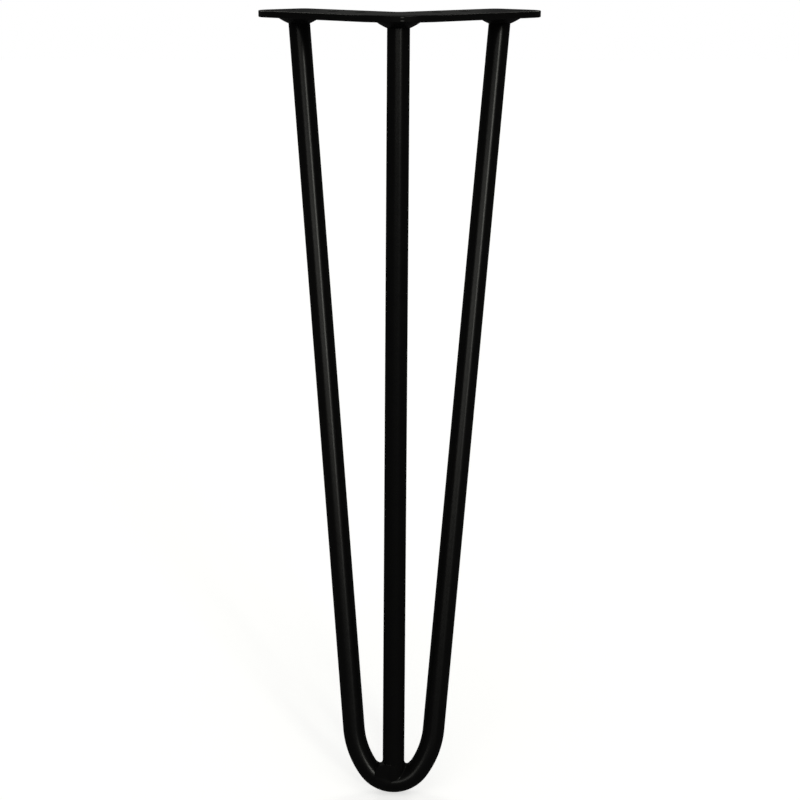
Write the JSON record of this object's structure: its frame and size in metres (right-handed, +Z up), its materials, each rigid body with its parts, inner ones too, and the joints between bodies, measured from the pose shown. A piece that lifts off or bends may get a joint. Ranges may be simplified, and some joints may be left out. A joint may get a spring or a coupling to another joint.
{
  "type": "hairpin table leg",
  "caption": "Hairpin table leg: a bent round rod and a straight centre rod welded under a chevron mounting plate with screw holes, coated satin black.",
  "frame": {"origin": "on the plate's top face, over the centre rod, where the centrelines of the plate's arms cross", "axes": "+Z up, out of the plate's top face; -Y towards the chevron's apex and the foot; YZ is the plane of symmetry"},
  "size_m": [0.1296, 0.116, 0.35],
  "materials": {
    "black_coat": "satin black powder coat"
  },
  "bodies": {
    "root": {"mounting_plate": "black_coat", "hairpin_rod": "black_coat", "centre_rod": "black_coat", "centre_plate_weld": "black_coat", "left_plate_weld": "black_coat", "right_plate_weld": "black_coat", "foot_weld": "black_coat"}
  },
  "joints": []
}
